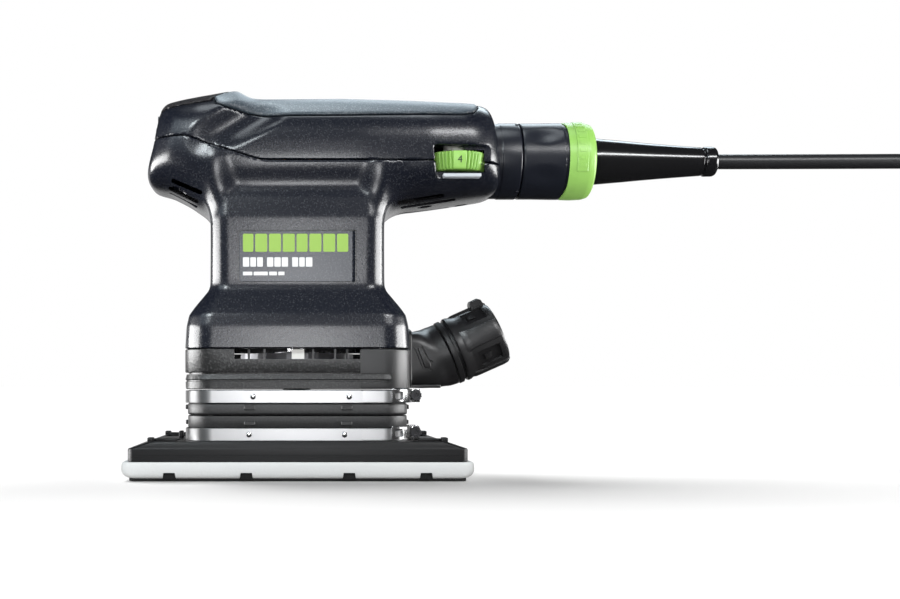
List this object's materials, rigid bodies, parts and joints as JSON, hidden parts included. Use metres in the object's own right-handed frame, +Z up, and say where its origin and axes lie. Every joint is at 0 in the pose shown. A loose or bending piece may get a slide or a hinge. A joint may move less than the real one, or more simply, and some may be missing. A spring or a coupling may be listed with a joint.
{
  "type": "orbital sander",
  "caption": "Compact palm-grip orbital sander with a rectangular foam-faced pad, clamped rubber skirt, speed wheel, swivelling dust port, twist-lock lead connector and coiled mains lead.",
  "frame": {"origin": "centre of the sanding face, under the motor axis", "axes": "+Z up along the motor axis, +X from the rear end towards the mains lead, -Y the side with the speed wheel"},
  "size_m": [0.4317, 0.1112, 0.1539],
  "materials": {
    "housing_plastic": "fine-grained navy-black, satin",
    "grip_plastic": "soft-touch blue-grey, fine grain",
    "cap_plastic": "dark brown-grey, fine grain",
    "black_plastic": "coarse-grained black",
    "grey_plastic": "matte dark grey",
    "green_plastic": "bright green, satin",
    "light_plastic": "light grey",
    "label": "dark satin plate",
    "black_rubber": "matte black rubber",
    "cord_rubber": "smooth dark rubber",
    "foam": "off-white fine foam",
    "hook": "black hook fabric",
    "band_steel": "satin bright steel",
    "bearing_steel": "ground steel",
    "core_steel": "laminated steel",
    "cast_alloy": "cast",
    "copper": "copper",
    "carbon": "carbon",
    "board": "circuit board"
  },
  "bodies": {
    "housing": {"motor_housing": "housing_plastic", "top_cover": "housing_plastic", "inlet_socket": "housing_plastic", "connector_body": "housing_plastic", "grip_pad": "grip_plastic", "rear_cap": "cap_plastic", "base_ring": "black_plastic", "upper_clamp_screw": "black_plastic", "bearing_bridge": "black_plastic", "switch_module": "black_plastic", "dust_elbow": "grey_plastic", "dial_potentiometer": "grey_plastic", "label_plate": "label", "rating_plate": "label", "upper_seal": "black_rubber", "cable_boot": "black_rubber", "pad_leg_1": "black_rubber", "pad_leg_2": "black_rubber", "pad_leg_3": "black_rubber", "pad_leg_4": "black_rubber", "mains_cord": "cord_rubber", "cord_tail": "cord_rubber", "cord_coil": "cord_rubber", "mains_plug": "cord_rubber", "upper_band": "band_steel", "upper_buckle": "band_steel", "cover_screw_1": "band_steel", "cover_screw_2": "band_steel", "cover_screw_3": "band_steel", "cover_screw_4": "band_steel", "lower_bearing": "bearing_steel", "upper_bearing": "bearing_steel", "stator_core": "core_steel", "bearing_plate": "cast_alloy", "field_coil_near": "copper", "field_coil_far": "copper", "brush_holder_near": "copper", "brush_holder_far": "copper", "carbon_brush_near": "carbon", "carbon_brush_far": "carbon", "control_board": "board"},
    "rotor": {"rotor_shaft": "bearing_steel", "eccentric": "core_steel", "armature_core": "core_steel", "commutator": "copper", "cooling_fan": "black_plastic", "pad_bearing": "bearing_steel"},
    "pad": {"pad_plate": "grey_plastic", "foam_pad": "foam", "hook_layer": "hook", "bearing_hub": "cast_alloy", "lower_seal": "black_rubber", "lower_band": "band_steel", "lower_buckle": "band_steel", "lower_clamp_screw": "black_plastic"},
    "switch": {"switch_rocker": "light_plastic"},
    "dial": {"speed_dial": "green_plastic"},
    "twist_lock": {"locking_ring": "green_plastic"},
    "port": {"dust_sleeve": "grey_plastic"}
  },
  "joints": [
    {"name": "rotor_spin", "type": "hinge", "parent": "housing", "child": "rotor", "pos_m": [0, 0, 0.08], "axis": [0, 0, 1], "continuous": true},
    {"name": "pad_orbit", "type": "hinge", "parent": "rotor", "child": "pad", "pos_m": [0, 0.001, 0.028], "axis": [0, 0, 1], "continuous": true},
    {"name": "speed_dial_turn", "type": "hinge", "parent": "housing", "child": "dial", "pos_m": [0.0625, -0.0176, 0.1231], "axis": [0, 0, 1], "range_deg": [-162, 108]},
    {"name": "switch_rock", "type": "hinge", "parent": "housing", "child": "switch", "pos_m": [-0.0534, 0, 0.1405], "axis": [0, 1, 0], "range_deg": [0, 6]},
    {"name": "lock_ring_turn", "type": "hinge", "parent": "housing", "child": "twist_lock", "pos_m": [0.113, 0, 0.1278], "axis": [1, 0, 0], "range_deg": [0, 60]},
    {"name": "dust_sleeve_swivel", "type": "hinge", "parent": "housing", "child": "port", "pos_m": [0.0639, 0, 0.0504], "axis": [0.9135, 0, 0.4067], "continuous": true}
  ],
  "couplings": [
    {"joint": "pad_orbit", "follows": "rotor_spin", "ratio": -1}
  ]
}
